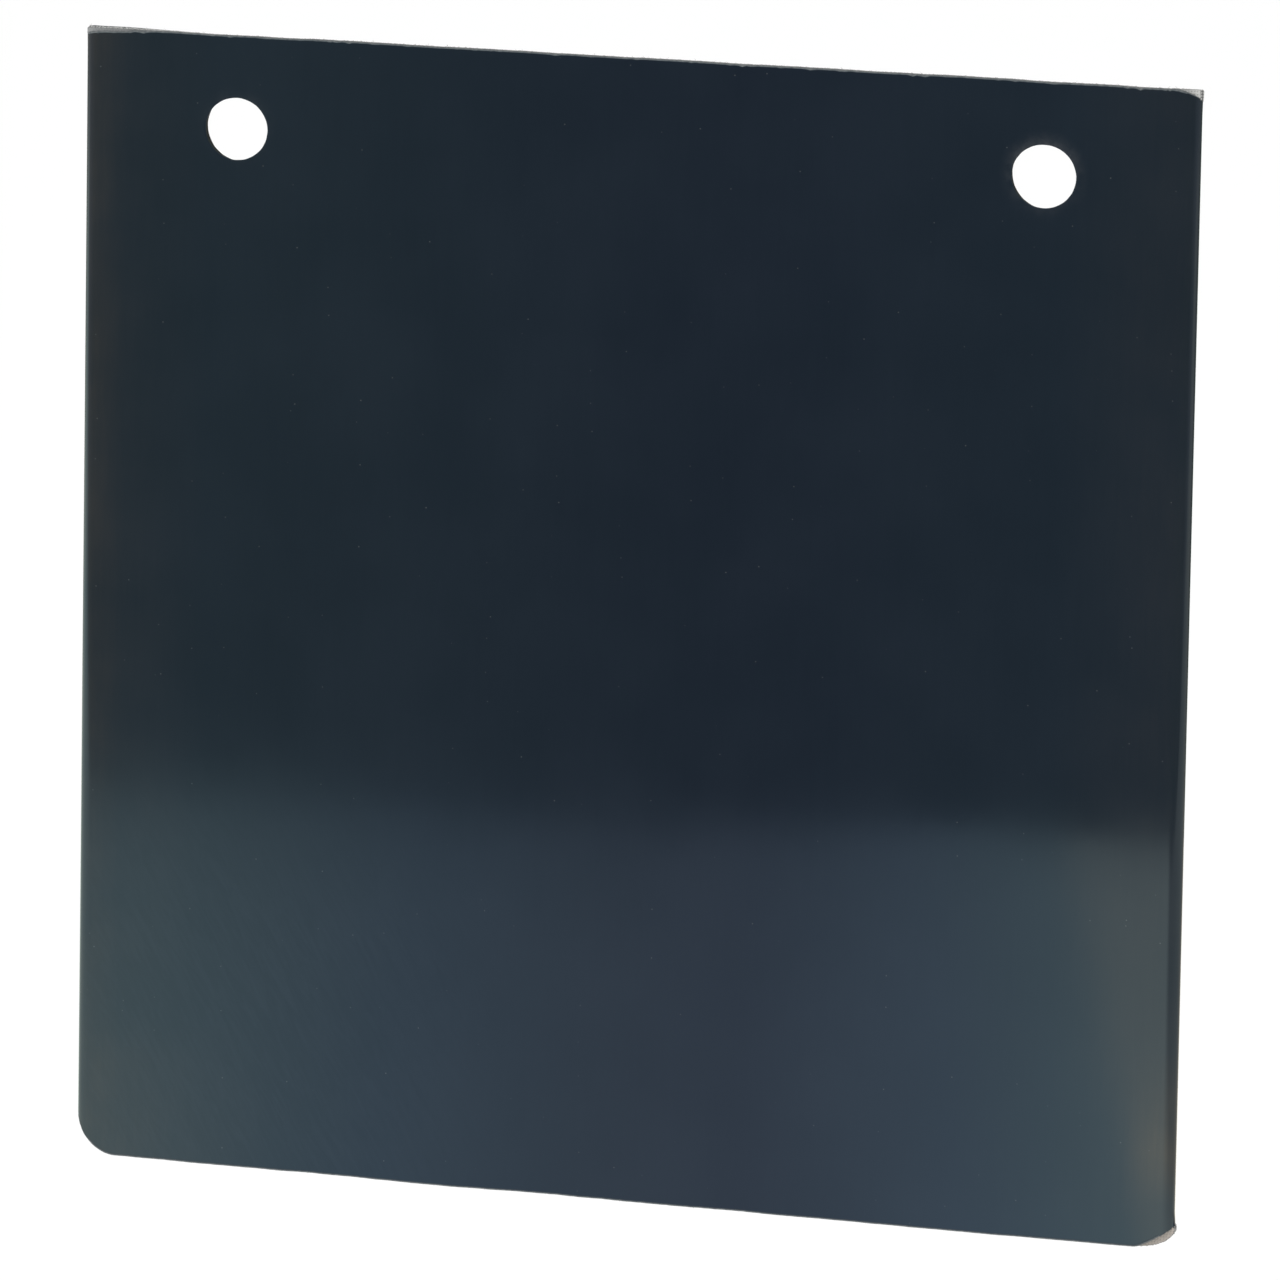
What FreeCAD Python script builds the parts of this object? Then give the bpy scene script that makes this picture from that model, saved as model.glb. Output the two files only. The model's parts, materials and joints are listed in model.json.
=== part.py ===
import FreeCAD, Part
import os

# Mud flap: a square of fabric-reinforced rubber sheet that hangs from two bolts near its top edge.
# The sheet is moulded as a wide strip with rounded rubber sides, cut across to make the top and the
# bottom, and then rounded at its two bottom corners and punched for the bolts. Five bonded layers
# lie between the front face (towards -Y) and the rear face (Y = 0), which goes against the bracket:
# rubber cover, woven ply, skim rubber, woven ply, rubber cover. Along each side a narrow rubber
# edge strip closes the gap between the covers, so the plies show only where the sheet was cut.
#
# The outline and the holes are in whole sixteenths of an inch, and the layers in millimetres.
# Millimetres, +Z up. The origin is midway between the bolt holes, on the rear face.

INCH = 25.4

WIDTH = 10 * INCH
HEIGHT = 10 * INCH
BOTTOM_CORNER_RADIUS = 3 / 8 * INCH
SIDE_EDGE_RADIUS = 1.9

HOLE_DIAMETER = 9 / 16 * INCH
HOLE_SPACING = 7.25 * INCH
HOLE_BELOW_TOP = 13 / 16 * INCH

COVER_THICKNESS = 1.0
PLY_THICKNESS = 0.8
SKIM_THICKNESS = 0.4
EDGE_STRIP_WIDTH = 1.2

LEFT = -WIDTH / 2
RIGHT = WIDTH / 2
TOP = HOLE_BELOW_TOP
BOTTOM = TOP - HEIGHT
CORE_THICKNESS = 2 * PLY_THICKNESS + SKIM_THICKNESS
THICKNESS = CORE_THICKNESS + 2 * COVER_THICKNESS
FRONT = -THICKNESS
REAR = 0.0


def block(low, high):
    """A box between two opposite corners."""
    size = [b - a for a, b in zip(low, high)]
    return Part.makeBox(*size, FreeCAD.Vector(*low))


def moulded_strip():
    """The strip before cutting: a slab whose four long edges, at its sides, are rounded."""
    slab = block((LEFT, FRONT, BOTTOM), (RIGHT, REAR, TOP))
    upright = [e for e in slab.Edges if abs(e.tangentAt(e.FirstParameter).z) > 0.99]
    return slab.makeFillet(SIDE_EDGE_RADIUS, upright)


def corner_offcut(side):
    """What is trimmed off a bottom corner: a square less a quarter round. side is -1 left, 1 right."""
    radius = BOTTOM_CORNER_RADIUS
    clear = 1.0
    outer = side * (RIGHT + clear)
    centre = FreeCAD.Vector(side * (RIGHT - radius), FRONT - clear, BOTTOM + radius)
    xs = sorted((centre.x, outer))
    square = block((xs[0], FRONT - clear, BOTTOM - clear), (xs[1], REAR + clear, centre.z))
    depth = THICKNESS + 2 * clear
    return square.cut(Part.makeCylinder(radius, depth, centre, FreeCAD.Vector(0, 1, 0)))


def bolt_hole(side):
    """The punch's path through every layer."""
    clear = 1.0
    start = FreeCAD.Vector(side * HOLE_SPACING / 2, FRONT - clear, 0)
    return Part.makeCylinder(HOLE_DIAMETER / 2, THICKNESS + 2 * clear, start, FreeCAD.Vector(0, 1, 0))


def cut_sheet():
    """The whole flap as one blank, rounded at the bottom corners and punched."""
    return moulded_strip().cut([corner_offcut(-1), corner_offcut(1), bolt_hole(-1), bolt_hole(1)])


def portion(sheet, left, right, front, rear):
    """The part of the sheet between two sides and two depths."""
    return sheet.common(block((left, front, BOTTOM), (right, rear, TOP))).removeSplitter()


def layers(sheet):
    """Every layer and edge strip of the sheet, by name, from the front to the rear."""
    ply_left = LEFT + EDGE_STRIP_WIDTH
    ply_right = RIGHT - EDGE_STRIP_WIDTH
    core_front = FRONT + COVER_THICKNESS
    skim_front = core_front + PLY_THICKNESS
    skim_rear = skim_front + SKIM_THICKNESS
    core_rear = skim_rear + PLY_THICKNESS
    return {
        "front_cover": portion(sheet, LEFT, RIGHT, FRONT, core_front),
        "front_ply": portion(sheet, ply_left, ply_right, core_front, skim_front),
        "skim_layer": portion(sheet, ply_left, ply_right, skim_front, skim_rear),
        "rear_ply": portion(sheet, ply_left, ply_right, skim_rear, core_rear),
        "rear_cover": portion(sheet, LEFT, RIGHT, core_rear, REAR),
        "left_edge_strip": portion(sheet, LEFT, ply_left, core_front, core_rear),
        "right_edge_strip": portion(sheet, ply_right, RIGHT, core_front, core_rear),
    }


os.makedirs("parts", exist_ok=True)
for name, shape in layers(cut_sheet()).items():
    solid = shape.Solids[0]
    solid.exportStep("parts/" + name + ".step")
    print(name, "valid" if solid.isValid() else "NOT VALID", round(solid.Volume, 1), "mm3")
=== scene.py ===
import json
import math
import random

import bmesh
import bpy
from mathutils import Matrix, Vector, noise
from mathutils.geometry import delaunay_2d_cdt

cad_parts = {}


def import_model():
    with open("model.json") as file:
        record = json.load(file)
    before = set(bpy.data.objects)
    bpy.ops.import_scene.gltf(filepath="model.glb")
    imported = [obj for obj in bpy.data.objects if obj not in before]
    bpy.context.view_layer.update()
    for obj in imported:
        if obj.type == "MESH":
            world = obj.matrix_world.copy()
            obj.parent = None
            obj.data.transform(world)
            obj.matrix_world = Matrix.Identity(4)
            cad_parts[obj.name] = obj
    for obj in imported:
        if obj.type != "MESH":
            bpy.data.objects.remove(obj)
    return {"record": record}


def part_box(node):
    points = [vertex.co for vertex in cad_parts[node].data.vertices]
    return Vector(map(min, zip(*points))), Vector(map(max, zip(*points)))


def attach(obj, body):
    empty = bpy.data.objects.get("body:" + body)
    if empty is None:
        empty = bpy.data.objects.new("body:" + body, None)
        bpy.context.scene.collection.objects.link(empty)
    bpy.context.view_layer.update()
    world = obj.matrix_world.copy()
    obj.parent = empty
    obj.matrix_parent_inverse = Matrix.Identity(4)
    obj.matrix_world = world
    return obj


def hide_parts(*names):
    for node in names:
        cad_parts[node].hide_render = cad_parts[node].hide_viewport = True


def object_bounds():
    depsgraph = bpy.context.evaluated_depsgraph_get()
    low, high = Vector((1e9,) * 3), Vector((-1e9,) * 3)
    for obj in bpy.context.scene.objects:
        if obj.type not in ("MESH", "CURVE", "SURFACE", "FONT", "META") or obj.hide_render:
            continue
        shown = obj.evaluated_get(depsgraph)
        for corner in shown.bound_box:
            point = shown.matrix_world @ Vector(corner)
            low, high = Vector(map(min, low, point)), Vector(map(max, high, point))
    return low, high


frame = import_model()
cad_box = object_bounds()

# Shapes are worked out in millimetres and made in metres. The outline and the layers' depths come
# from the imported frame. The front face is towards -Y and the rear face is at Y = 0. Each layer is
# built of rings of points (x, z), one ring to each depth y.
MM = 0.001
LOW, HIGH = ([value / MM for value in corner] for corner in cad_box)
HALF_WIDTH = HIGH[0]
TOP = HIGH[2]
BOTTOM = LOW[2]
FRONT = LOW[1]
REAR = HIGH[1]
MIDDLE = (TOP + BOTTOM) / 2
COVER_THICKNESS = 1.0

BOLT_HOLES = [m for m in frame["record"]["mounts"] if m["kind"] == "bore"]
HOLE_RADIUS = BOLT_HOLES[0]["dims"]["r_mm"]

# The punched holes sit a little right of the drawing, inside the clearance of a 1/2 in bolt, and
# have relaxed wider than they are tall. They open out towards the rear face.
HOLE_SHIFT = 0.7
HOLE_CENTRES = [(m["pos_m"][0] / MM + HOLE_SHIFT, m["pos_m"][2] / MM) for m in BOLT_HOLES]
HOLE_STRETCH = (1.005, 0.958)
BREAKOUT = 0.9

# The moulded sides roll off in a flattened quarter round, and a cut edge has a fine broken corner.
ROLL_WIDTH = 2.8
ROLL_DEPTH = 1.9
CUT_ARRIS = 0.1

# The two corners rounded by the cut at the bottom, as (radius across, radius up). The left one goes
# through every layer, and the right one through the layers behind the trimmed front cover.
BOTTOM_LEFT = (10.0, 11.4)
BOTTOM_RIGHT = (8.6, 4.2)

# The front cover was trimmed short at three corners, which leaves the plies bare there. Two trims are
# (how far along the edge, how far down or up the side, how hollow it is). The top left one slopes
# along the edge, and is given by how far down the side it reaches.
TOP_RIGHT_TRIM = (7.5, 2.0, 2.2)
BOTTOM_RIGHT_TRIM = (8.7, 4.75, 1.36)
TOP_LEFT_TRIM = 1.47

# Each face has loops of points just inside its edges, which keep it flat right up to them.
COVER_SUPPORT = 0.4
PLY_SUPPORT = 0.12

# How many points go round a hole in a cover and in the skim layer.
COVER_HOLE_POINTS = 84
SKIM_HOLE_POINTS = 72

# The mark of a hole's inside, in the "pale" attribute, where the hole's wall is painted near black as
# painted shade.
HOLE_SHADE_MARK = -1.0


# ---------------------------------------------------------------- outline


def quarter_round(distance, radius):
    """How far a rounded edge has drawn in, from 0 past the radius to 1 at the face."""
    if distance >= radius:
        return 0.0
    return 1.0 - math.sqrt(max(0.0, 1.0 - (1.0 - distance / radius) ** 2))


def face_distance(y):
    """Depth of a station below the nearer of the two faces."""
    return max(0.0, min(y - FRONT, REAR - y))


def side_limit(y):
    """Half the width of the moulded strip at a depth."""
    return HALF_WIDTH - ROLL_WIDTH * quarter_round(face_distance(y), ROLL_DEPTH)


def smoothstep(value, low, high):
    """A smooth rise from 0 at the low value to 1 at the high one."""
    t = min(1.0, max(0.0, (value - low) / (high - low)))
    return t * t * (3.0 - 2.0 * t)


def ragged(s, seed, size, amount):
    """A repeatable waver along an edge."""
    return amount * noise.noise(Vector((s / size, seed, 0.37)))


class SharpCorner:
    """A nearly square corner, which moves in with the moulded side."""

    radius = 0.3
    count = 5

    def points(self, limit, shrink):
        """(distance out, distance in from the edge, normal out, normal to the edge), side first."""
        radius = max(0.02, self.radius - shrink)
        found = []
        for i in range(self.count):
            angle = math.pi / 2 * i / (self.count - 1)
            out = limit - radius * (1.0 - math.cos(angle))
            down = shrink + radius * (1.0 - math.sin(angle))
            found.append((out, down, math.cos(angle), math.sin(angle)))
        return found


class CutCorner:
    """A corner cut to a path, which gives the distances in from the side and from the edge."""

    def __init__(self, path, count):
        self.path = path
        self.count = count

    def at(self, t, shrink):
        before, after = self.path(max(0.0, t - 0.01)), self.path(min(1.0, t + 0.01))
        way = Vector((after[0] - before[0], after[1] - before[1])).normalized()
        across, down = self.path(t)
        return HALF_WIDTH - across + shrink * way.y, down + shrink * way.x, -way.y, way.x

    def points(self, limit, shrink):
        """As for a sharp corner. The moulded side clips the path."""
        low, high = 0.0, 1.0
        for _ in range(30):
            middle = (low + high) / 2
            if self.at(middle, shrink)[0] > limit:
                low = middle
            else:
                high = middle
        stops = [low + (1.0 - low) * i / (self.count - 1) for i in range(self.count)]
        return [self.at(t, shrink) for t in stops]


def rounded(radius_x, radius_z):
    """The path of a quarter ellipse."""
    def path(t):
        angle = t * math.pi / 2
        return radius_x * (1 - math.cos(angle)), radius_z * (1 - math.sin(angle))
    return path


def trimmed(along, up, power):
    """The path of a trim, steep at the side and fading out along the edge."""
    return lambda t: (along * t, up * (1.0 - t) ** power)


class Outline:
    """The closed outline of one layer, clockwise from the top left corner as seen from the front."""

    close_length = 5.0
    corner_gap = 0.15

    def __init__(self, corners, edge_step, side_step, close_step):
        self.corners = corners
        self.edge_count = round(2 * HALF_WIDTH / edge_step)
        self.side_count = round((TOP - BOTTOM) / side_step)
        self.side_step = side_step
        self.close = [close_step * (i + 1) for i in range(int(self.close_length / close_step))]

    def ring(self, y, shrink=0.0, limit=None):
        """Points of the outline at a depth, as (x, z, normal x, normal z, 1 where cut or 0)."""
        limit = (limit or side_limit(y)) - shrink
        tl, tr, br, bl = [corner.points(limit, shrink) for corner in self.corners]
        points = [(-u, TOP - w, -nu, nw, 1.0) for u, w, nu, nw in tl]
        points += self.edge_run(points[-1], (tr[-1][0], TOP - tr[-1][1]), 1.0)
        points += [(u, TOP - w, nu, nw, 1.0) for u, w, nu, nw in reversed(tr)]
        points += self.side_run(points[-1], (br[0][0], BOTTOM + br[0][1]), 1.0)
        points += [(u, BOTTOM + w, nu, -nw, 1.0) for u, w, nu, nw in br]
        points += self.edge_run(points[-1], (-bl[-1][0], BOTTOM + bl[-1][1]), -1.0)
        points += [(-u, BOTTOM + w, -nu, -nw, 1.0) for u, w, nu, nw in reversed(bl)]
        points += self.side_run(points[-1], (-tl[0][0], TOP - tl[0][1]), -1.0)
        return points

    def edge_run(self, start, end, up):
        """Points along the top or the bottom."""
        stops = [i / self.edge_count for i in range(1, self.edge_count)]
        return [(*between(start, end, t), 0.0, up, 1.0) for t in stops]

    def side_run(self, start, end, out):
        """Points down or up a side, with closer ones near both corners."""
        length = math.hypot(end[0] - start[0], end[1] - start[1])
        skip = math.ceil(self.close[-1] / self.side_step) + 1
        gap = self.corner_gap / length
        near = [gap] + [gap + distance / length for distance in self.close]
        middle = [i / self.side_count for i in range(skip, self.side_count - skip + 1)]
        stops = near + middle + [1.0 - t for t in reversed(near)]
        return [(*between(start, end, t), out, 0.0, 0.0) for t in stops]


def between(start, end, t):
    """The point a share of the way from one point to another."""
    return start[0] + (end[0] - start[0]) * t, start[1] + (end[1] - start[1]) * t


# ---------------------------------------------------------------- common shape


def warp(x, z):
    """The gentle bend that the whole sheet has taken, as a shift in depth."""
    u = x / HALF_WIDTH
    v = (z - MIDDLE) / HALF_WIDTH
    twist = 0.35 * smoothstep(u, 0.1, 1.1) * v
    waves = noise.noise(Vector((x / 95.0, z / 120.0, 4.1))) * 0.10
    return twist + waves


def edge_waver(x, z):
    """The knife's slight wandering, the same through every layer."""
    seed = 11.0 if z > MIDDLE else 23.0
    return ragged(x, seed, 34.0, 0.22) + ragged(x, seed, 7.0, 0.10)


def signed_area(loop):
    """Twice the area of a closed loop, positive if it runs anticlockwise."""
    return sum(x1 * z2 - x2 * z1 for (x1, z1), (x2, z2) in zip(loop, loop[1:] + loop[:1]))


class Builder:
    """Collects one layer's closed mesh: two flat sheets, and the walls at its outline and holes."""

    def __init__(self):
        self.verts = []
        self.flat = []
        self.cut = []
        self.pale = []
        self.faces = []

    def point(self, x, y, z, cut=0.0, pale=0.0):
        """Add a point and return its number. The sheet has stretched a little towards its bottom."""
        low = (TOP - z) / (TOP - BOTTOM)
        wide, long = 1.0 + 0.0034 * low * low, 0.4 * low * low
        self.verts.append((x * wide * MM, (y + warp(x, z)) * MM, (z - long) * MM))
        self.flat.append((x, z))
        self.cut.append(cut)
        self.pale.append(pale)
        return len(self.verts) - 1

    def wall(self, rings):
        """Quads between rings of vertex numbers."""
        for near, far in zip(rings, rings[1:]):
            count = len(near)
            for i in range(count):
                j = (i + 1) % count
                self.faces.append((near[i], near[j], far[j], far[i]))

    def sheet(self, loops, inner, numbers):
        """Triangles over the region inside the first loop and outside the others."""
        flat = [Vector(p) for loop in loops for p in loop] + [Vector(p) for p in inner]
        edges = []
        owner = []
        for index, loop in enumerate(loops):
            start, count = len(owner), len(loop)
            edges += [(start + i, start + (i + 1) % count) for i in range(count)]
            owner += [index] * count
        owner += [-1] * len(inner)
        turns = [signed_area(loop) > 0 for loop in loops]
        made = delaunay_2d_cdt(flat, edges, [], 1, 1e-5, True)
        source = [ids[0] for ids in made[3]]
        for face in made[2]:
            ids = sorted(source[i] for i in face)
            loop = owner[ids[0]]
            if loop >= 0 and owner[ids[2]] == loop:
                inside = (signed_area([flat[i] for i in ids]) > 0) == turns[loop]
                if inside == (loop > 0):
                    continue
            for sheet_numbers in numbers:
                self.faces.append(tuple(sheet_numbers[i] for i in ids))

    def finish(self, name, material, nodes, sharp=50):
        """The finished piece, standing for the CAD solid of the same name."""
        mesh = bpy.data.meshes.new(name)
        mesh.from_pydata(self.verts, [], self.faces)
        for key, values in (("cut", self.cut), ("pale", self.pale)):
            attribute = mesh.attributes.new(key, "FLOAT", "POINT")
            attribute.data.foreach_set("value", values)
        tidy = bmesh.new()
        tidy.from_mesh(mesh)
        bmesh.ops.recalc_face_normals(tidy, faces=tidy.faces)
        tidy.to_mesh(mesh)
        tidy.free()
        mesh.shade_smooth()
        mesh.set_sharp_from_angle(angle=math.radians(sharp))
        mesh.materials.append(material)
        piece = bpy.data.objects.new(name + "_piece", mesh)
        bpy.context.scene.collection.objects.link(piece)
        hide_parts(*nodes)
        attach(piece, "root")
        return piece


def grid_points(half_width, margin, step):
    """A staggered grid over the sheet's inside, clear of the outline and the holes."""
    found = []
    rows = int((TOP - BOTTOM) / step)
    for row in range(rows + 1):
        z = BOTTOM + (TOP - BOTTOM) * row / rows
        shift = step / 2 if row % 2 else 0.0
        x = -half_width + shift
        while x <= half_width:
            if clear_of_edges(x, z, half_width, margin):
                found.append((x, z))
            x += step
    return found


def clear_of_edges(x, z, half_width, margin):
    """Whether a point is inside the outline and outside the holes, by at least the margin."""
    if abs(x) > half_width - margin or z > TOP - margin or z < BOTTOM + margin:
        return False
    radius = BOTTOM_LEFT[1]
    over_x = abs(x) - (half_width - radius)
    over_z = (BOTTOM + radius) - z
    if over_x > 0 and over_z > 0 and math.hypot(over_x, over_z) > radius - margin:
        return False
    return all(math.hypot(x - cx, z - cz) > HOLE_RADIUS + margin for cx, cz in HOLE_CENTRES)


# ---------------------------------------------------------------- rubber covers


def arris(y):
    """How far a cut edge draws in near the two faces."""
    return CUT_ARRIS * quarter_round(face_distance(y), CUT_ARRIS)


def front_skive(x):
    """How far the front cover was trimmed down along the top, most of it near the left corner."""
    from_left = x + HALF_WIDTH
    long_part = 0.45 * TOP_LEFT_TRIM * (1.0 - smoothstep(from_left, 5.0, 17.0))
    corner_part = 0.55 * TOP_LEFT_TRIM * math.exp(-from_left / 1.2)
    bite = 0.16 * noise.noise(Vector((x / 2.1, 5.5, 0.2))) * (1.0 - smoothstep(from_left, 16.0, 22.0))
    nick = 0.7 * max(0.0, noise.noise(Vector((x / 0.7, 7.7, 0.6))) - 0.25)
    return long_part + corner_part + bite + nick


def tilt(x, y):
    """How far the tilted knife has dropped the top edge towards the rear face."""
    return 0.42 * smoothstep(y, FRONT, REAR + 0.4) * smoothstep(x, -121.0, -98.0)


def moved_by_cut(x, y, z, trim=0.0):
    """Height of a point after the knife's wandering, tilt and trim, which fade out along the sides."""
    trim += tilt(x, y)
    near_top = smoothstep(z, TOP - 12.0, TOP - 3.0)
    near_bottom = 1.0 - smoothstep(z, BOTTOM + 3.0, BOTTOM + 12.0)
    waver = edge_waver(x, z)
    return z - (waver + trim) * near_top + waver * near_bottom


def flared(x, y, z):
    """The layers behind the front cover have spread outwards a little at three cut corners."""
    low = 0.42 * math.exp(-((z - BOTTOM - 4.4) ** 2)) * smoothstep(x, 119.0, 126.0)
    behind = smoothstep(y, FRONT + COVER_THICKNESS, REAR - 0.5)
    top = behind * smoothstep(z, TOP - 5.0, TOP - 0.8) * smoothstep(abs(x), 118.0, 125.0)
    spread = 0.3 * (HALF_WIDTH - side_limit(y)) + (0.15 if x > 0 else 0.45)
    return x + low + math.copysign(top * spread, x), z


def cover_edge(outline, y, seed, front, shrink=0.0):
    """The cover's outline at a depth, with the knife's marks on its cut edges."""
    found = []
    for x, z, nx, nz, cut in outline.ring(y, shrink):
        if cut and not shrink:
            inset = arris(y) + 0.05 * noise.noise(Vector((x * 0.9 + seed, z * 0.9, y * 2.5)))
            x -= nx * inset
            z -= nz * inset
        z = moved_by_cut(x, y, z, front_skive(x) if front else 0.0)
        if not front:
            x, z = flared(x, y, z)
        found.append((x, z, cut, 0.0))
    return found


def cover_stations(front):
    """Depths of the rings through a cover, closest together where its edges round over."""
    count = 13
    last = math.acos(1.0 - COVER_THICKNESS / ROLL_DEPTH)
    depths = [ROLL_DEPTH * (1.0 - math.cos(last * i / (count - 1))) for i in range(count)]
    return [FRONT + d for d in depths] if front else [REAR - d for d in reversed(depths)]


def hole_ring(centre, radius, count):
    """Points round a circle."""
    angles = [2 * math.pi * i / count for i in range(count)]
    return [(centre[0] + radius * math.cos(a), centre[1] + radius * math.sin(a)) for a in angles]


def cover_hole(centre, y, seed, grow=0.0):
    """The punched hole at a depth: a little ragged, and rounded over at the face."""
    found = []
    for x, z in hole_ring(centre, HOLE_RADIUS, COVER_HOLE_POINTS):
        out = Vector((x - centre[0], z - centre[1])).normalized()
        rough = 0.05 * noise.noise(Vector((x * 0.8 + seed, z * 0.8, y)))
        far = HOLE_RADIUS + grow + 0.8 * arris(y) + rough + breakout(y)
        x, z = centre[0] + out.x * far * HOLE_STRETCH[0], centre[1] + out.y * far * HOLE_STRETCH[1]
        found.append((x, z, 0.0, hole_shade(y)))
    return found


def make_cover(name, front, corners, material):
    """A rubber cover: moulded face and sides, cut top and bottom, and two punched holes."""
    seed = 3.0 if front else 8.0
    outline = Outline(corners, 1.0, 1.6, 0.4)
    stations = cover_stations(front)
    ends = (stations[0], stations[-1])
    build = Builder()
    loops = [cover_support(build, outline, y, seed, front) for y in ends]
    walls = [[add_ring(build, cover_edge(outline, y, seed, front), y) for y in stations]]
    for centre in HOLE_CENTRES:
        walls.append([add_ring(build, cover_hole(centre, y, seed), y) for y in stations])
    add_walls(build, loops, walls)
    inner = grid_points(HALF_WIDTH - ROLL_WIDTH, 4.2, 2.5)
    add_faces(build, loops, ends, inner)
    build.finish(name, material, [name])


def add_walls(build, loops, walls):
    """The walls at the outline and in the holes, from the front face's loops to the rear face's."""
    for near, rings, far in zip(loops[0], walls, loops[1]):
        build.wall([near] + rings + [far])


def add_faces(build, loops, ends, inner, cut=0.0, woven=(), reliefs=(0.0, 0.0)):
    """The front and rear faces, inside their loops. Woven points are (x, z, height of the weave)."""
    numbers = []
    for y, parts, relief in zip(ends, loops, reliefs):
        own = [i for part in parts for i in part] + [build.point(x, y, z, cut) for x, z in inner]
        own += [build.point(x, y + relief * (1.0 - height), z, cut, height) for x, z, height in woven]
        numbers.append(own)
    flat = [[build.flat[i] for i in part] for part in loops[0]]
    build.sheet(flat, inner + [(x, z) for x, z, _ in woven], numbers)


def breakout(y):
    """How much wider a punched hole is at a depth than at the front face."""
    return BREAKOUT * (y - FRONT) / (REAR - FRONT)


def hole_shade(y):
    """The mark for a hole's wall, painted near black as painted shade, which starts just under the
    face.
    """
    return HOLE_SHADE_MARK * smoothstep(face_distance(y), 0.04, 0.2)


def add_ring(build, points, y):
    """The numbers of new points at a depth, given as (x, z, cut, pale)."""
    return [build.point(x, y, z, cut, pale) for x, z, cut, pale in points]


def cover_support(build, outline, y, seed, front):
    """Loops just inside a cover's edges."""
    outer = cover_edge(outline, y, seed, front, COVER_SUPPORT + CUT_ARRIS)
    found = [[build.point(x, y, z) for x, z, *_ in outer]]
    for centre in HOLE_CENTRES:
        ring = cover_hole(centre, y, seed, COVER_SUPPORT)
        found.append([build.point(x, y, z) for x, z, *_ in ring])
    return found


# ---------------------------------------------------------------- plies and skim layer

# Half the plies' width beside the edge strips, and at the bare corners, where they reach the side.
PLY_HALF_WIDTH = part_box("front_ply")[1].x / MM
BARE_HALF_WIDTH = HALF_WIDTH - 0.1

# The spacing of the yarns, the number of points to each along a cut, and how deep the gaps between
# them are where the weave is bare.
YARN_PITCH = 0.65
YARN_SAMPLES = 6
YARN_STEP = YARN_PITCH / YARN_SAMPLES
WEAVE_RELIEF = 0.16

# The front ply's bare corners, as (low x, high x, low z, high z).
BARE_CORNERS = (
    (-BARE_HALF_WIDTH, -106.0, TOP - 2.2, TOP),
    (118.5, BARE_HALF_WIDTH, TOP - 3.0, TOP),
    (116.0, BARE_HALF_WIDTH, BOTTOM, BOTTOM + 5.4),
)

# How far an edge strip stops short of a bare corner, and how quickly the plies widen past its end.
STRIP_GAP = 0.14
STRIP_FADE = 0.12


def yarn_end(s, v, seed):
    """Bump and paleness of a cut yarn end, at a distance along the cut and a share of the depth."""
    index = math.floor(s / YARN_PITCH)
    across = s / YARN_PITCH - index - 0.5
    centre = 0.5 + (0.17 if index % 2 else -0.17)
    spread = (across / 0.44) ** 2 + ((v - centre) / 0.33) ** 2
    length = noise.noise(Vector((index * 0.73, seed, 1.9)))
    if spread >= 1.0:
        return -0.07, 0.0
    dome = math.sqrt(1.0 - spread)
    return 0.13 * dome + 0.16 * length * dome - 0.05, min(1.0, 1.6 * dome)


def weave_height(x, z):
    """Height of the plain weave at a point on a ply's face, from 0 in a gap to 1 on a crown."""
    i, j = math.floor(x / YARN_PITCH), math.floor(z / YARN_PITCH)
    fx, fz = x / YARN_PITCH - i - 0.5, z / YARN_PITCH - j - 0.5
    over = 1.0 if (i + j) % 2 else -1.0
    upright = 0.32 * over * math.cos(math.pi * fz) + 0.42 * math.sqrt(max(0.0, 1 - (fx / 0.47) ** 2))
    level = -0.32 * over * math.cos(math.pi * fx) + 0.42 * math.sqrt(max(0.0, 1 - (fz / 0.47) ** 2))
    return min(1.0, max(0.0, (max(upright, level) + 0.05) / 0.79))


def distances_along(points):
    """Distance round the outline at each of its points."""
    found = [0.0]
    for near, far in zip(points, points[1:]):
        found.append(found[-1] + math.hypot(far[0] - near[0], far[1] - near[1]))
    return found


def strip_top(side, y):
    """The upper end of an edge strip. The right one is cut at a slant."""
    if side < 0:
        return TOP - TOP_LEFT_TRIM
    return TOP - TOP_RIGHT_TRIM[1] - 0.3 * (y - FRONT - COVER_THICKNESS)


def strip_foot(y):
    """The lower end of the right edge strip, cut at a slant."""
    return BOTTOM + BOTTOM_RIGHT_TRIM[1] + 0.33 * (y - FRONT - COVER_THICKNESS)


def strip_share(x, y, z):
    """1 beside an edge strip, and 0 at the three bare corners, where the plies reach the side."""
    top = strip_top(x, y)
    above = smoothstep(z, top - STRIP_FADE, top)
    if x < 0:
        return 1.0 - above
    return 1.0 - above - (1.0 - smoothstep(z, strip_foot(y), strip_foot(y) + STRIP_FADE))


def core_place(x, y, z):
    """Where a point of the plies or the skim layer ends up, beside the strips and at the cuts."""
    draw_in = (BARE_HALF_WIDTH - PLY_HALF_WIDTH) * smoothstep(abs(x), 124.9, BARE_HALF_WIDTH)
    x -= math.copysign(draw_in, x) * strip_share(x, y, z)
    return flared(x, y, moved_by_cut(x, y, z, 0.1 * front_skive(x)))


def ply_edge(outline, y, v, seed):
    """A ply's outline at a depth, with its cut yarn ends standing proud."""
    points = outline.ring(y, limit=BARE_HALF_WIDTH)
    found = []
    for (x, z, nx, nz, cut), s in zip(points, distances_along(points)):
        cut = max(cut, 1.0 - strip_share(x, y, z))
        bump, pale = yarn_end(s, v, seed) if cut > 0.5 else (0.0, 0.3)
        found.append((*core_place(x + nx * bump, y, z + nz * bump), cut, pale))
    return found


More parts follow.
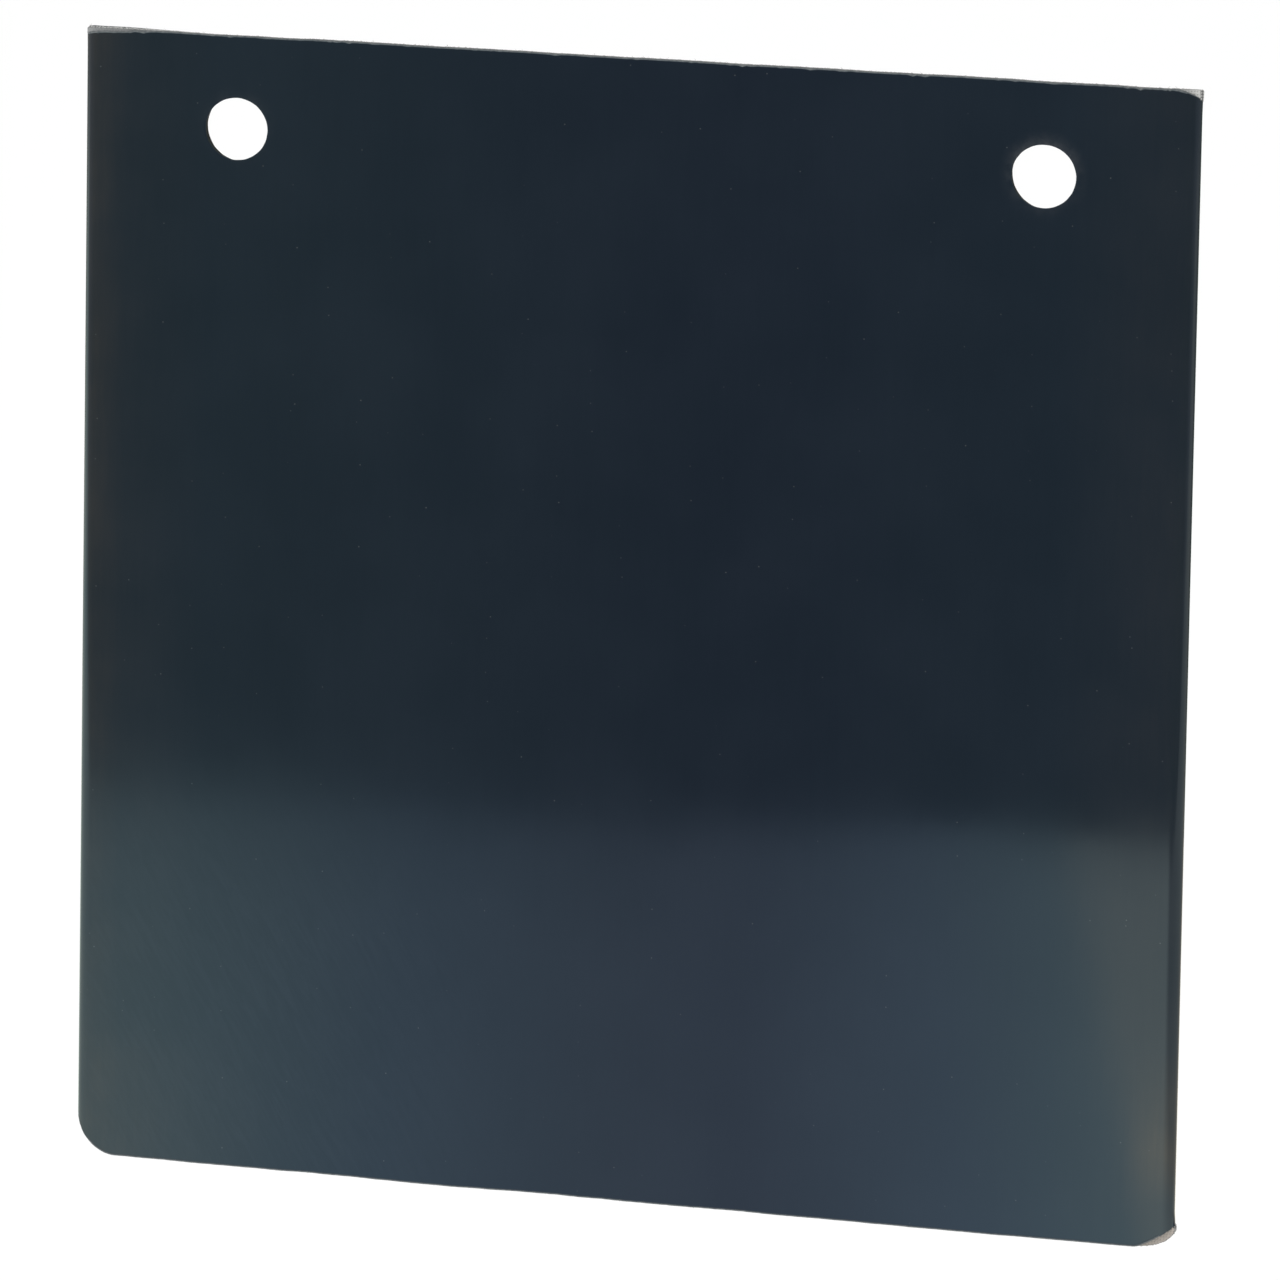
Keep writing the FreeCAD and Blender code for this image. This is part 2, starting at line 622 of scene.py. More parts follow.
def ply_hole(centre, y, v, seed, count):
    """A ply's punched hole at a depth, with the yarn ends round it."""
    found = []
    for i, (x, z) in enumerate(hole_ring(centre, HOLE_RADIUS, count)):
        bump, pale = yarn_end(i * 2 * math.pi * HOLE_RADIUS / count, v, seed)
        share = 1.0 + (breakout(y) + 0.02 - 0.5 * bump) / HOLE_RADIUS
        x, z = stretched(centre, x, z, share)
        # The hole's yarn ends carry the mark for painted shade, a little less of it where a yarn end
        # shows.
        found.append((x, z, 1.0, 0.2 * pale + HOLE_SHADE_MARK))
    return found


def stretched(centre, x, z, share):
    """A point of a hole's circle, moved out by a share and by the hole's relaxing."""
    across, down = share * HOLE_STRETCH[0], share * HOLE_STRETCH[1]
    return centre[0] + (x - centre[0]) * across, centre[1] + (z - centre[1]) * down


def bare_patches(y):
    """Fine points over the corners where the front cover leaves the front ply's face bare."""
    step = YARN_PITCH / 5
    found = []
    for low_x, high_x, low_z, high_z in BARE_CORNERS:
        rows = int((high_z - low_z) / step)
        columns = int((high_x - low_x) / step)
        for row in range(rows):
            for column in range(columns):
                x, z = low_x + (column + 0.5) * step, low_z + (row + 0.5) * step
                beside = strip_share(x, y, z) > 0.0 or strip_share(x, y, z + 0.1) > 0.0
                across = HALF_WIDTH - abs(x) - (1.4 if beside else 0.0)
                if bare_point(across, min(TOP - z, z - BOTTOM), x > 0 and z < 0):
                    found.append((x, z))
    return found


def bare_point(across, down, at_bottom):
    """Whether a point, by its distances in from the side and the edge, is clear of the ply's edge."""
    if across < 0.35 or down < 0.22:
        return False
    if not at_bottom:
        return True
    short_across = 1.0 - (across - 0.26) / BOTTOM_RIGHT[0]
    short_down = 1.0 - (down - 0.24) / BOTTOM_RIGHT[1]
    if short_across > 0 and short_down > 0:
        return math.hypot(short_across, short_down) < 1.0
    return True


def ply_support(build, outline, y, count, relief):
    """Loops just inside a ply's edges."""
    parts = [[]]
    for x, z, *_ in outline.ring(y, PLY_SUPPORT, BARE_HALF_WIDTH):
        height = weave_height(x, z)
        place = core_place(x, y, z)
        parts[0].append(build.point(place[0], y + relief * (1.0 - height), place[1], 0.0, height))
    for centre in HOLE_CENTRES:
        ring = hole_ring(centre, HOLE_RADIUS + BREAKOUT + 0.6, count)
        parts.append([build.point(x, y, z, 0.0, 0.6) for x, z in ring])
    return parts


def core_grid():
    """The points inside a ply or the skim layer, well apart because its faces are flat and hidden."""
    return grid_points(PLY_HALF_WIDTH, 5.2, 4.0)


def make_ply(name, front, rear, corners, seed, material, bare):
    """A woven ply: flat where it is bonded, woven in relief where it is bare, yarn ends at its cuts."""
    outline = Outline(corners, YARN_STEP, 4.0, YARN_STEP)
    build = Builder()
    count = round(2 * math.pi * HOLE_RADIUS / YARN_PITCH) * YARN_SAMPLES
    ends = (front, rear)
    reliefs = (WEAVE_RELIEF if bare else 0.0, 0.0)
    levels = [(front + (rear - front) * i / 8, i / 8) for i in range(9)]
    loops = [ply_support(build, outline, y, count, relief) for y, relief in zip(ends, reliefs)]
    walls = [[add_ring(build, ply_edge(outline, y, v, seed), y) for y, v in levels]]
    for i, centre in enumerate(HOLE_CENTRES):
        walls.append([add_ring(build, ply_hole(centre, y, v, seed + i, count), y) for y, v in levels])
    add_walls(build, loops, walls)
    patches = bare_patches(front) if bare else []
    woven = [(*core_place(x, front, z), weave_height(x, z)) for x, z in patches]
    add_faces(build, loops, ends, core_grid(), 0.0, woven, reliefs)
    fray(build, outline, front, rear, seed)
    piece = build.finish(name, material, [name], 75)


def fray(build, outline, front, rear, seed):
    """A few loose fibres at the cut edges."""
    draw = random.Random(int(seed))
    cuts = [p for p in outline.ring(front, 0.0, BARE_HALF_WIDTH) if p[4] and abs(p[3]) > 0.2]
    for _ in range(70):
        x, z, nx, nz, _cut = draw.choice(cuts)
        depth = draw.uniform(front + 0.2, rear - 0.2)
        z = moved_by_cut(x, depth, z)
        lean = draw.uniform(-1.2, 1.2)
        length = draw.uniform(0.15, 0.6)
        path = []
        for i in range(5):
            t = i / 4
            bend = lean * t * t
            across = x + nx * length * t + bend * length
            up = z + nz * (length * t - 0.1)
            path.append(Vector((across, depth + 0.3 * bend * t, up)))
        tube(build, path, 0.035)


def tube(build, path, radius):
    """A closed fibre along a path."""
    sides = 5
    rings = []
    for centre in path:
        ring = []
        for i in range(sides):
            angle = 2 * math.pi * i / sides
            x = centre.x + radius * math.cos(angle)
            y = centre.y + radius * math.sin(angle)
            ring.append(build.point(x, y, centre.z, 1.0, 0.9))
        rings.append(ring)
    build.wall(rings)
    build.faces.append(tuple(reversed(rings[0])))
    build.faces.append(tuple(rings[-1]))


def skim_support(build, outline, y):
    """Loops just inside the skim layer's edges."""
    outer = [core_place(x, y, z) for x, z, *_ in outline.ring(y, COVER_SUPPORT, BARE_HALF_WIDTH)]
    found = [[build.point(x, y, z, 1.0) for x, z in outer]]
    for centre in HOLE_CENTRES:
        ring = hole_ring(centre, HOLE_RADIUS + BREAKOUT + 0.7, SKIM_HOLE_POINTS)
        found.append([build.point(x, y, z, 1.0) for x, z in ring])
    return found


def skim_edge(outline, y):
    """The skim layer's outline at a depth."""
    found = []
    for x, z, nx, nz, _ in outline.ring(y, 0.0, BARE_HALF_WIDTH):
        inset = 0.06 + 0.06 * noise.noise(Vector((x * 1.1, z * 1.1, y * 3)))
        found.append((*core_place(x - nx * inset, y, z - nz * inset), 1.0, 0.0))
    return found


def skim_hole(centre, y):
    """The skim layer's punched hole at a depth."""
    share = 1.0 + (0.05 + breakout(y)) / HOLE_RADIUS
    ring = hole_ring(centre, HOLE_RADIUS, SKIM_HOLE_POINTS)
    # The skim layer's hole wall carries the mark for painted shade.
    return [(*stretched(centre, x, z, share), 1.0, HOLE_SHADE_MARK) for x, z in ring]


def make_skim(front, rear, corners, material):
    """The thin rubber between the plies, drawn back a little at its cut edges."""
    outline = Outline(corners, 1.0, 4.0, 0.4)
    build = Builder()
    ends = (front, rear)
    stations = [front + (rear - front) * i / 4 for i in range(5)]
    loops = [skim_support(build, outline, y) for y in ends]
    walls = [[add_ring(build, skim_edge(outline, y), y) for y in stations]]
    for centre in HOLE_CENTRES:
        walls.append([add_ring(build, skim_hole(centre, y), y) for y in stations])
    add_walls(build, loops, walls)
    add_faces(build, loops, ends, core_grid(), 1.0)
    build.finish("skim_layer", material, ["skim_layer"])


# ---------------------------------------------------------------- edge strips


STRIP_COLUMNS = 5
STRIP_ROWS = 170


def strip_low(side, out, y):
    """The lower end of an edge strip: on the left it follows the rounded corner."""
    if side > 0:
        return strip_foot(y) + STRIP_GAP
    reach = min(1.0, (out - (HALF_WIDTH - BOTTOM_LEFT[0])) / BOTTOM_LEFT[0])
    return BOTTOM + BOTTOM_LEFT[1] * (1.0 - math.sqrt(1.0 - reach * reach))


def strip_place(side, column, row, y):
    """A point of an edge strip. The rows next to both ends are close to them."""
    out = PLY_HALF_WIDTH + (side_limit(y) - PLY_HALF_WIDTH) * column / (STRIP_COLUMNS - 1)
    low = strip_low(side, out, y)
    high = strip_top(side, y) - STRIP_GAP
    shares = {1: 0.1, STRIP_ROWS - 1: STRIP_ROWS - 0.1}
    z = low + (high - low) * shares.get(row, row) / STRIP_ROWS
    x = side * out
    return flared(x, y, moved_by_cut(x, y, z, 0.1 * front_skive(x)))


def strip_border():
    """The grid positions round the strip, anticlockwise from its lower inner corner."""
    last = STRIP_COLUMNS - 1
    found = [(column, 0) for column in range(last)]
    found += [(last, row) for row in range(STRIP_ROWS)]
    found += [(column, STRIP_ROWS) for column in range(last, 0, -1)]
    return found + [(0, row) for row in range(STRIP_ROWS, 0, -1)]


def make_strip(name, side, front, rear, material):
    """The moulded rubber that seals a side, between the covers and beside the plies."""
    build = Builder()
    border = strip_border()
    stations = [front + (rear - front) * i / 8 for i in range(9)]
    rings = []
    for y in stations:
        ring = []
        for column, row in border:
            x, z = strip_place(side, column, row, y)
            cut = 1.0 if row in (0, STRIP_ROWS) or column == 0 else 0.0
            ring.append(build.point(x, y, z, cut))
        rings.append(ring)
    build.wall(rings)
    for y, ring in ((front, rings[0]), (rear, rings[-1])):
        known = dict(zip(border, ring))
        for column in range(1, STRIP_COLUMNS - 1):
            for row in range(1, STRIP_ROWS):
                x, z = strip_place(side, column, row, y)
                known[column, row] = build.point(x, y, z)
        for column in range(STRIP_COLUMNS - 1):
            for row in range(STRIP_ROWS):
                corner = ((column, row), (column + 1, row), (column + 1, row + 1), (column, row + 1))
                build.faces.append(tuple(known[key] for key in corner))
    build.finish(name, material, [name])


# ---------------------------------------------------------------- materials


def add(tree, kind, inputs=None, **settings):
    """A new node. An input given as a socket is linked, and any other value is set on it."""
    made = tree.nodes.new(kind)
    for key, value in settings.items():
        setattr(made, key, value)
    for key, value in (inputs or {}).items():
        if isinstance(value, bpy.types.NodeSocket):
            tree.links.new(value, made.inputs[key])
        else:
            made.inputs[key].default_value = value
    return made


def maths(tree, operation, *values):
    """The result of a maths node."""
    return add(tree, "ShaderNodeMath", dict(enumerate(values)), operation=operation).outputs[0]


def plus(tree, first, second):
    """A sum."""
    return maths(tree, "ADD", first, second)


def times(tree, first, second):
    """A product."""
    return maths(tree, "MULTIPLY", first, second)


def remap(tree, value, from_low, from_high, to_low=0.0, to_high=1.0):
    """A value moved from one range to another, and held at the new range's ends."""
    sizes = {"Value": value, "From Min": from_low, "From Max": from_high}
    sizes.update({"To Min": to_low, "To Max": to_high})
    return add(tree, "ShaderNodeMapRange", sizes).outputs["Result"]


def mixed(tree, factor, first, second):
    """A colour between two colours."""
    made = add(tree, "ShaderNodeMix", {0: factor}, data_type="RGBA")
    for index, value in ((6, first), (7, second)):
        if isinstance(value, bpy.types.NodeSocket):
            tree.links.new(value, made.inputs[index])
        else:
            made.inputs[index].default_value = (*value, 1.0)
    return made.outputs[2]


def in_millimetres(tree, stretch=(1.0, 1.0, 1.0)):
    """Object coordinates in millimetres, which a stretch can squeeze along an axis."""
    where = add(tree, "ShaderNodeTexCoord").outputs["Object"]
    scale = [1000.0 * value for value in stretch]
    return add(tree, "ShaderNodeVectorMath", {0: where, 1: scale}, operation="MULTIPLY").outputs[0]


def cloud(tree, where, scale, detail=3.0, roughness=0.5, distortion=0.0):
    """Soft noise, mostly from 0.3 to 0.7."""
    sizes = {"Vector": where, "Scale": scale, "Detail": detail, "Roughness": roughness}
    sizes["Distortion"] = distortion
    return add(tree, "ShaderNodeTexNoise", sizes).outputs["Fac"]


def attribute(tree, name):
    """A value that each mesh carries at its points: how far it is cut, or how pale."""
    return add(tree, "ShaderNodeAttribute", attribute_name=name).outputs["Fac"]


def hole_shade_share(tree, pale):
    """1 where a punched hole's wall is painted near black as painted shade, from the mark that its
    points carry.
    """
    return remap(tree, pale, HOLE_SHADE_MARK, 0.0, 1.0, 0.0)


def set_relief(tree, shader, height):
    """Fine relief, with heights in thousandths of a millimetre."""
    bump = add(tree, "ShaderNodeBump", {"Height": height, "Distance": 1e-6})
    tree.links.new(bump.outputs["Normal"], shader.inputs["Normal"])


def new_material(name):
    """A new material, with its node tree and its shader."""
    material = bpy.data.materials.new(name)
    material.use_nodes = True
    return material, material.node_tree, material.node_tree.nodes["Principled BSDF"]


def rubber_material(name):
    """Black calendered rubber: glossy on its moulded skin, grey and dusty where it was cut, and painted
    near black on its hole walls as painted shade.
    """
    material, tree, shader = new_material(name)
    where = in_millimetres(tree)
    cut = attribute(tree, "cut")
    axis = add(tree, "ShaderNodeSeparateXYZ", {0: where}).outputs
    skin = skin_colour(tree, where, axis)

    grain = cloud(tree, where, 1.3, 4.0, 0.6)
    crumb = remap(tree, grain, 0.3, 0.7)
    sawn = mixed(tree, crumb, (0.075, 0.080, 0.085), (0.17, 0.175, 0.175))
    shown = remap(tree, cut, 0.25, 0.75)
    colour = mixed(tree, shown, skin, sawn)
    # Inside the holes the colour is painted near black: painted shade on the hole walls.
    inside = hole_shade_share(tree, attribute(tree, "pale"))
    tree.links.new(mixed(tree, inside, colour, (0.004, 0.005, 0.007)), shader.inputs["Base Color"])

    gloss = skin_gloss(tree, where, axis)
    matt = times(tree, maths(tree, "MAXIMUM", shown, inside), 0.7)
    tree.links.new(plus(tree, matt, gloss), shader.inputs["Roughness"])

    peel = skin_relief(tree, where, axis)
    rough = times(tree, times(tree, grain, shown), 90.0)
    set_relief(tree, shader, plus(tree, peel, rough))
    shader.inputs["IOR"].default_value = 1.52
    shader.inputs["Specular Tint"].default_value = (0.62, 0.85, 1.0, 1.0)
    return material


def skin_colour(tree, where, axis):
    """Blue-black, with faint streaks, blotches and scuffs, under warm dust with painted sheen, and
    specks.
    """
    streak = cloud(tree, in_millimetres(tree, (0.8, 0.8, 0.05)), 1.0, 4.0, 0.6, 0.8)
    streak = remap(tree, streak, 0.3, 0.7)
    blotch = remap(tree, cloud(tree, where, 0.03), 0.35, 0.65)
    blotch = times(tree, blotch, 0.6)
    blotch = plus(tree, blotch, times(tree, streak, 0.2))
    blotch = plus(tree, blotch, times(tree, scuffs(tree, where, axis), 0.8))
    skin = mixed(tree, blotch, (0.0072, 0.0115, 0.0200), (0.0103, 0.0153, 0.0250))
    # Warm brown paling towards the sides and corners: part dust, part painted sheen.
    skin = mixed(tree, dust_and_sheen_edges(tree, where, axis, streak), skin, (0.055, 0.042, 0.030))
    skin = mixed(tree, specks(tree, axis), skin, (0.10, 0.105, 0.11))
    for centre, strength in zip(HOLE_CENTRES, (0.05, 0.22)):
        skin = mixed(tree, hole_dust(tree, where, centre, strength), skin, (0.10, 0.10, 0.105))
    return skin


def skin_gloss(tree, where, axis):
    """The skin's roughness, a little higher towards the left."""
    gloss = remap(tree, cloud(tree, where, 0.05, 4.0), 0.3, 0.7, 0.066, 0.084)
    return plus(tree, gloss, remap(tree, axis[0], -110.0, 90.0, 0.045, 0.0))


def skin_relief(tree, where, axis):
    """The skin's ripples, stronger in a band across the middle, and long upright strokes."""
    band = remap(tree, axis[2], -92.0, -120.0)
    band = times(tree, band, remap(tree, axis[2], -152.0, -138.0))
    swirl = times(tree, band, remap(tree, axis[0], 70.0, 20.0, 0.0, 2.4))
    ripple = cloud(tree, where, 0.7, 2.0, 0.5, 0.8)
    peel = times(tree, ripple, plus(tree, swirl, 1.0))
    stroke = cloud(tree, in_millimetres(tree, (0.16, 1.0, 0.05)), 1.0, 2.0, 0.5, 1.4)
    return plus(tree, peel, times(tree, stroke, 4.0))


def dust_and_sheen_edges(tree, where, axis, streak):
    """How far the skin goes warm brown, as dust and painted sheen: a little towards the sides, most
    down the left and at the bottom right.
    """
    outer = remap(tree, maths(tree, "ABSOLUTE", axis[0]), 98.0, 127.0, 0.0, 0.10)
    left = remap(tree, axis[0], -117.0, -126.0, 0.0, 0.18)
    height = remap(tree, axis[2], -190.0, -209.0)
    height = times(tree, height, remap(tree, axis[2], -224.0, -212.0))
    low = times(tree, height, remap(tree, axis[0], 116.0, 124.0, 0.0, 0.55))
    foot = remap(tree, axis[0], -80.0, -122.0, 0.0, 0.18)
    foot = times(tree, remap(tree, axis[2], -200.0, -226.0), foot)
    share = plus(tree, plus(tree, outer, left), plus(tree, low, foot))
    patchy = remap(tree, cloud(tree, where, 0.06), 0.3, 0.7, 0.6, 1.2)
    lined = remap(tree, streak, 0.0, 1.0, 0.8, 1.2)
    return times(tree, share, times(tree, patchy, lined))


def scuffs(tree, where, axis):
    """Faint slanting scuffs over the lower left of the face, as a share either side of 0."""
    turned = []
    for direction in ((0.70, 0.0, 0.40), (-0.05, 0.0, 0.087)):
        both = {0: where, 1: direction}
        turned.append(add(tree, "ShaderNodeVectorMath", both, operation="DOT_PRODUCT").outputs["Value"])
    slanted = add(tree, "ShaderNodeCombineXYZ", dict(enumerate(turned))).outputs[0]
    marks = remap(tree, cloud(tree, slanted, 1.0, 4.0, 0.65, 1.0), 0.3, 0.7, -1.0, 1.0)
    place = remap(tree, axis[0], -20.0, -80.0)
    place = times(tree, place, remap(tree, axis[2], -140.0, -185.0))
    return times(tree, marks, place)


def hole_dust(tree, where, centre, strength):
    """Pale dust on the skin round a hole, most of it above."""
    both = {0: where, 1: (centre[0], FRONT, centre[1])}
    out = add(tree, "ShaderNodeVectorMath", both, operation="DISTANCE").outputs["Value"]
    height = add(tree, "ShaderNodeSeparateXYZ", {0: where}).outputs[2]
    near = remap(tree, out, HOLE_RADIUS, HOLE_RADIUS + 3.6, 1.0, 0.0)
    near = times(tree, near, near)
    near = times(tree, near, remap(tree, height, centre[1] - 7.0, centre[1] + 7.0, 0.25, 1.0))
    patchy = remap(tree, cloud(tree, where, 0.4, 4.0, 0.6), 0.3, 0.7, 0.0, 2.0 * strength)
    return times(tree, near, patchy)


def specks(tree, axis):
    """Sparse dust specks: small spots at the middles of a few cells."""
    flat = add(tree, "ShaderNodeCombineXYZ", {0: axis[0], 1: axis[2]}).outputs[0]
    sizes = {"Vector": flat, "Scale": 0.13}
    cells = add(tree, "ShaderNodeTexVoronoi", sizes, voronoi_dimensions="2D").outputs
    spot = remap(tree, cells["Distance"], 0.006, 0.022, 1.0, 0.0)
    chance = add(tree, "ShaderNodeSeparateColor", {0: cells["Color"]}).outputs[0]
    return times(tree, spot, remap(tree, chance, 0.72, 1.0))


def ply_material(name):
    """Pale woven fabric with dark rubber struck through its gaps, darker to the left and beige towards
    the bottom.
    """
    material, tree, shader = new_material(name)
    where = in_millimetres(tree)
    pale = attribute(tree, "pale")
    cut = attribute(tree, "cut")
    axis = add(tree, "ShaderNodeSeparateXYZ", {0: where}).outputs
    left_darker_yarn = mixed(tree, remap(tree, axis[0], -120.0, 110.0), (0.34, 0.35, 0.35), (0.60, 0.60, 0.58))
    beige_below = remap(tree, axis[2], -160.0, -220.0)
    yarn = mixed(tree, beige_below, left_darker_yarn, (0.42, 0.375, 0.33))
    fibre = remap(tree, cloud(tree, where, 4.5, 3.0, 0.6), 0.3, 0.7)
    yarn = mixed(tree, times(tree, fibre, 0.35), yarn, (0.24, 0.24, 0.24))
    ends = mixed(tree, fibre, (0.38, 0.38, 0.37), (0.60, 0.60, 0.58))
    yarn = mixed(tree, cut, yarn, ends)
    shown = remap(tree, pale, 0.1, 0.6)
    colour = mixed(tree, shown, (0.08, 0.083, 0.086), yarn)
    # Inside the holes the pale yarn is painted near black: painted shade on the hole walls.
    inside = hole_shade_share(tree, pale)
    tree.links.new(mixed(tree, inside, colour, (0.010, 0.010, 0.011)), shader.inputs["Base Color"])
    shader.inputs["Roughness"].default_value = 0.85
    set_relief(tree, shader, times(tree, cloud(tree, where, 7.0, 3.0, 0.6), 40.0))
    return material


def skim_material(name):
    """Dark bonding rubber, seen only as a line between the plies."""
    material, tree, shader = new_material(name)
    where = in_millimetres(tree)
    crumb = remap(tree, cloud(tree, where, 1.6, 3.0, 0.6), 0.3, 0.7)
    colour = mixed(tree, crumb, (0.07, 0.072, 0.075), (0.16, 0.16, 0.16))
    # Inside the holes the colour is painted near black: painted shade on the hole walls.
    inside = hole_shade_share(tree, attribute(tree, "pale"))
    tree.links.new(mixed(tree, inside, colour, (0.008, 0.008, 0.009)), shader.inputs["Base Color"])
    shader.inputs["Roughness"].default_value = 0.8
    set_relief(tree, shader, times(tree, crumb, 60.0))
    return material


# ---------------------------------------------------------------- stage, lights and camera


def panel(name, corners, material):
    """One flat face as a new object."""
    mesh = bpy.data.meshes.new(name)
    mesh.from_pydata(corners, [], [tuple(range(len(corners)))])
    mesh.materials.append(material)
    made = bpy.data.objects.new(name, mesh)
    bpy.context.scene.collection.objects.link(made)
    return made


# The reflected table's bands of colour are in line with the camera's direction, and this is their
# slant. The bands, the far edge and the room's colours were tuned to what the photo's rubber reflects.
BAND_SLANT = 0.3155


def glowing_table_material(name):
    """A glowing table top, its emission painted light standing in for a softly lit table: brighter to
    the left and right than in the middle.
    """
    material, tree, shader = new_material(name)
    tree.nodes.remove(shader)
    place = add(tree, "ShaderNodeTexCoord").outputs["Object"]
    axis = add(tree, "ShaderNodeSeparateXYZ", {0: place}).outputs
    far = maths(tree, "ABSOLUTE", axis[1])
    across = plus(tree, axis[0], times(tree, far, BAND_SLANT))
    ramp = add(tree, "ShaderNodeValToRGB", {0: remap(tree, across, -0.13, 0.13)})
    stops = (
        (0.0, (1.53, 1.71, 1.52)),
        (0.10, (1.40, 1.54, 1.43)),
        (0.28, (1.00, 1.10, 1.18)),
        (0.50, (0.86, 0.84, 0.91)),
        (0.62, (0.82, 0.78, 0.88)),
        (0.82, (1.17, 1.24, 1.36)),
        (0.97, (1.57, 1.74, 1.64)),
        (1.0, (2.38, 2.20, 1.84)),
    )
    fill_ramp(ramp.color_ramp, stops)
    fading = remap(tree, far, 0.10, 0.52, 1.0, 0.72)
    fading = times(tree, fading, remap(tree, across, 0.16, 0.30, 1.0, 0.45))
    glow = add(tree, "ShaderNodeEmission", {"Color": ramp.outputs["Color"], "Strength": fading})
    output = tree.nodes["Material Output"]
    tree.links.new(glow.outputs[0], output.inputs["Surface"])
    return material


def fill_ramp(ramp, stops):
    """Give a colour ramp its stops, as (position, colour)."""
    while len(ramp.elements) < len(stops):
        ramp.elements.new(0.5)
    for element, (position, colour) in zip(ramp.elements, stops):
        element.position = position
        element.color = (*colour, 1.0)


# The reflected table's far edge, as (x, distance from the flap), in metres.
FAR_EDGE = (
    (-2.0, 0.498), (-0.295, 0.498), (-0.265, 0.512), (-0.150, 0.506),
    (-0.110, 0.526), (-0.070, 0.546), (2.0, 0.552),
)


def reflected_table():
    """A pale, glowing table top under the flap that only reflections see: its emission is painted light
    standing in for a lit table.
    It lies in front and behind, and its far edge shows as a horizon in the rubber."""
    height = BOTTOM * MM - 0.020
    front = [(x, -far, height) for x, far in FAR_EDGE]
    rear = [(x, far, height) for x, far in reversed(FAR_EDGE)]
    made = panel("table", front + rear, glowing_table_material("table"))
    made.visible_camera = False
    made.visible_diffuse = False
    made.visible_shadow = False


def world():
    """White all round for the view and the soft light. Reflections see a dim room instead."""
    made = bpy.data.worlds.new("studio")
    made.use_nodes = True
    tree = made.node_tree
    way = add(tree, "ShaderNodeTexCoord").outputs["Generated"]
    axis = add(tree, "ShaderNodeSeparateXYZ", {0: way}).outputs
    sideways = remap(tree, maths(tree, "ABSOLUTE", axis[0]), 0.55, 0.95)
    ramp = add(tree, "ShaderNodeValToRGB", {0: remap(tree, axis[0], -0.36, -0.24)})
    stops = (
        (0.0, (0.25, 0.30, 0.22)),
        (0.20, (0.24, 0.30, 0.20)),
        (0.37, (0.16, 0.21, 0.17)),
        (0.50, (0.11, 0.10, 0.09)),
        (0.63, (0.10, 0.10, 0.10)),
        (0.75, (0.16, 0.18, 0.155)),
        (1.0, (0.14, 0.19, 0.14)),
    )
    fill_ramp(ramp.color_ramp, stops)
    room = mixed(tree, sideways, ramp.outputs["Color"], (0.48, 0.48, 0.46))
    room = mixed(tree, remap(tree, axis[2], 0.3, 0.9), room, (0.86, 0.86, 0.86))
    reflected = add(tree, "ShaderNodeLightPath").outputs["Is Glossy Ray"]
    colour = mixed(tree, reflected, (1.05, 1.05, 1.05), room)
    tree.links.new(colour, tree.nodes["Background"].inputs["Color"])
    bpy.context.scene.world = made


def floor():
    """A plain pale floor some way below the flap."""
    material, _, shader = new_material("floor")
    shader.inputs["Base Color"].default_value = (0.97, 0.97, 0.97, 1.0)
    shader.inputs["Roughness"].default_value = 0.9
    half = 6.0
    height = BOTTOM * MM - 0.30
    quarters = ((-1, -1), (1, -1), (1, 1), (-1, 1))
    made = panel("floor", [(half * x, half * y, height) for x, y in quarters], material)
    made.visible_glossy = False


def key_light():
    """One large soft light, in front of the flap and above it to the left."""
    place = Vector((-0.9, -1.6, 1.3))
    target = Vector((0.0, 0.0, -0.1))
    light = bpy.data.lights.new("key", "AREA")
    light.shape = "SQUARE"
    light.size = 1.4
    light.energy = 8.0
    made = bpy.data.objects.new("key", light)
    made.location = place
    made.rotation_mode = "QUATERNION"
    made.rotation_quaternion = (target - place).to_track_quat("-Z", "Y")
    made.visible_camera = False
    made.visible_glossy = False
    bpy.context.scene.collection.objects.link(made)


# The camera's lens in millimetres, its angles, and its distance in metres from where it looks.
LENS = 309.375
AZIMUTH = math.radians(17.514)
ELEVATION = math.radians(10.218)
ROLL = math.radians(0.965)
DISTANCE = 2.4095
AIM = Vector((0.003626, -0.004, -0.107482))


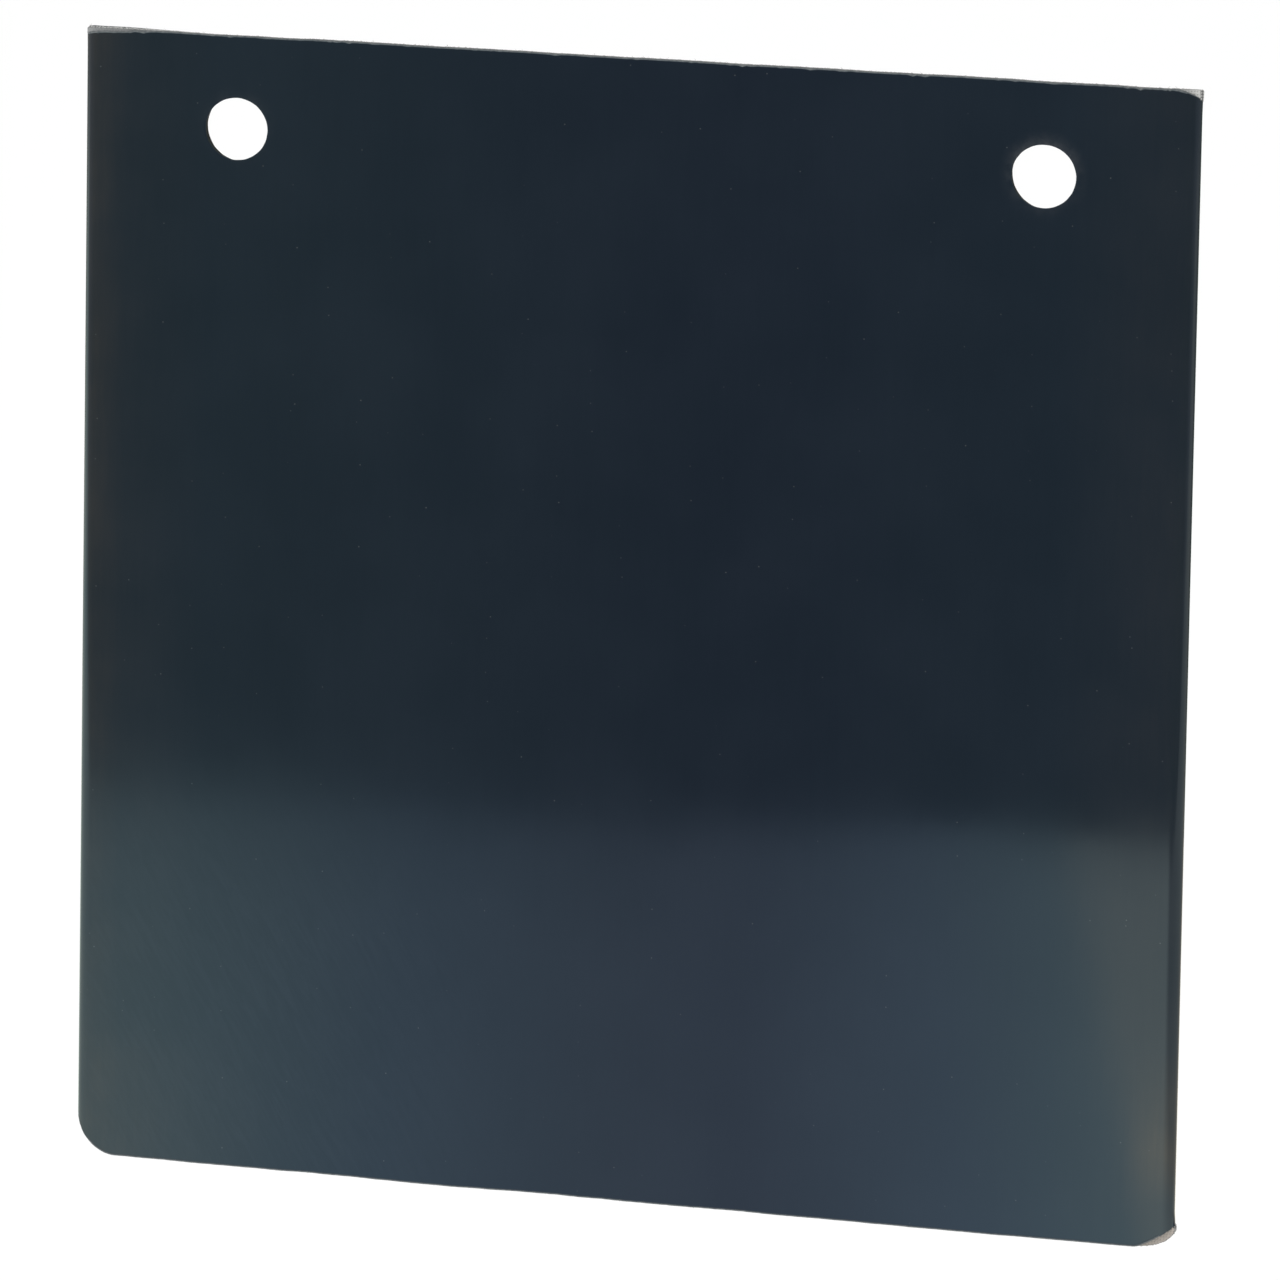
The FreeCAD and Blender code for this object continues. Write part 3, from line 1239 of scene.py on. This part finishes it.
def camera():
    """The photograph's viewing angle, with the slight roll that its outline shows."""
    back = Vector((
        math.sin(AZIMUTH) * math.cos(ELEVATION),
        -math.cos(AZIMUTH) * math.cos(ELEVATION),
        math.sin(ELEVATION),
    ))
    right = (-back).cross(Vector((0, 0, 1))).normalized()
    up = right.cross(-back)
    turned_right = right * math.cos(ROLL) + up * math.sin(ROLL)
    turned_up = up * math.cos(ROLL) - right * math.sin(ROLL)
    data = bpy.data.cameras.new("camera")
    data.lens = LENS
    data.sensor_width = 36.0
    data.clip_start = 0.05
    made = bpy.data.objects.new("camera", data)
    turn = Matrix((turned_right, turned_up, back)).transposed()
    made.matrix_world = Matrix.Translation(AIM + back * DISTANCE) @ turn.to_4x4()
    bpy.context.scene.collection.objects.link(made)
    bpy.context.scene.camera = made


def make_flap():
    """All seven pieces, from the front face to the rear."""
    rubber = rubber_material("cover_rubber")
    fabric = ply_material("ply_fabric")
    skim = skim_material("skim_rubber")
    sharp = SharpCorner()
    left_round = rounded(*BOTTOM_LEFT)
    right_round = rounded(*BOTTOM_RIGHT)
    coarse_corners = [sharp, sharp, CutCorner(right_round, 20), CutCorner(left_round, 28)]
    fine_corners = [sharp, sharp, CutCorner(right_round, 92), CutCorner(left_round, 150)]
    top_right = CutCorner(trimmed(*TOP_RIGHT_TRIM), 24)
    bottom_right = CutCorner(trimmed(*BOTTOM_RIGHT_TRIM), 24)
    trimmed_corners = [sharp, top_right, bottom_right, CutCorner(left_round, 28)]
    make_cover("front_cover", True, trimmed_corners, rubber)
    make_cover("rear_cover", False, coarse_corners, rubber)
    names = ("front_ply", "skim_layer", "rear_ply")
    depths = {name: [corner.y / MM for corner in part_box(name)] for name in names}
    make_ply("front_ply", *depths["front_ply"], fine_corners, 5, fabric, True)
    make_skim(*depths["skim_layer"], coarse_corners, skim)
    make_ply("rear_ply", *depths["rear_ply"], fine_corners, 6, fabric, False)
    core = (depths["front_ply"][0], depths["rear_ply"][1])
    make_strip("left_edge_strip", -1, *core, rubber)
    make_strip("right_edge_strip", 1, *core, rubber)


def main():
    """The flap, and what it is seen with."""
    make_flap()
    camera()
    world()
    floor()
    reflected_table()
    key_light()
    bpy.context.scene.view_settings.view_transform = "Standard"


main()
